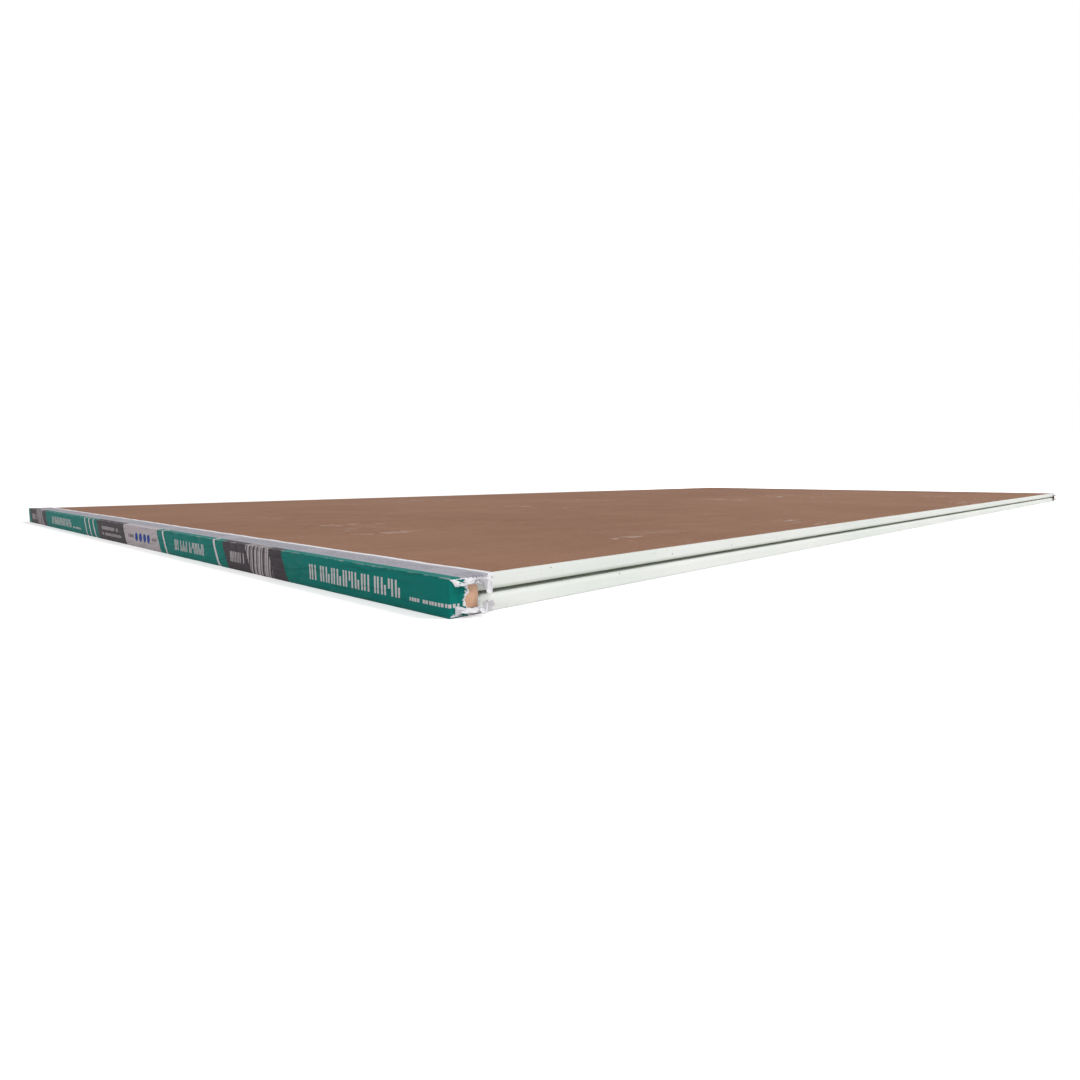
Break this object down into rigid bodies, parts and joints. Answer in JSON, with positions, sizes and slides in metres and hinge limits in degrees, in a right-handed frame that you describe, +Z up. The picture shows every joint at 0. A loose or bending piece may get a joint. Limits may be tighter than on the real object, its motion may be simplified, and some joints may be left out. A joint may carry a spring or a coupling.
{
  "type": "drywall sheet pair",
  "caption": "Tapered-edge gypsum drywall sheets laid face to face and bound at both ends by printed paper tape, ready to stack or to part and hang on a wall.",
  "frame": {"origin": "under the middle of the pair, on the plane of the tape's lower flanges, which is the floor it lies on", "axes": "+X along the sheets' length, +Y across their width, +Z up through their thickness"},
  "size_m": [2.4368, 1.2176, 0.0253],
  "materials": {
    "face_paper": "matte",
    "back_paper": "matte",
    "printed_tape": "matte",
    "liner_kraft": "matte"
  },
  "bodies": {
    "root": {"lower_sheet": "face_paper", "upper_sheet": "face_paper", "lower_back_paper": "back_paper", "upper_back_paper": "back_paper", "end_tape_near": "printed_tape", "end_tape_far": "printed_tape", "tape_liner_near": "liner_kraft", "tape_liner_far": "liner_kraft"}
  },
  "joints": []
}
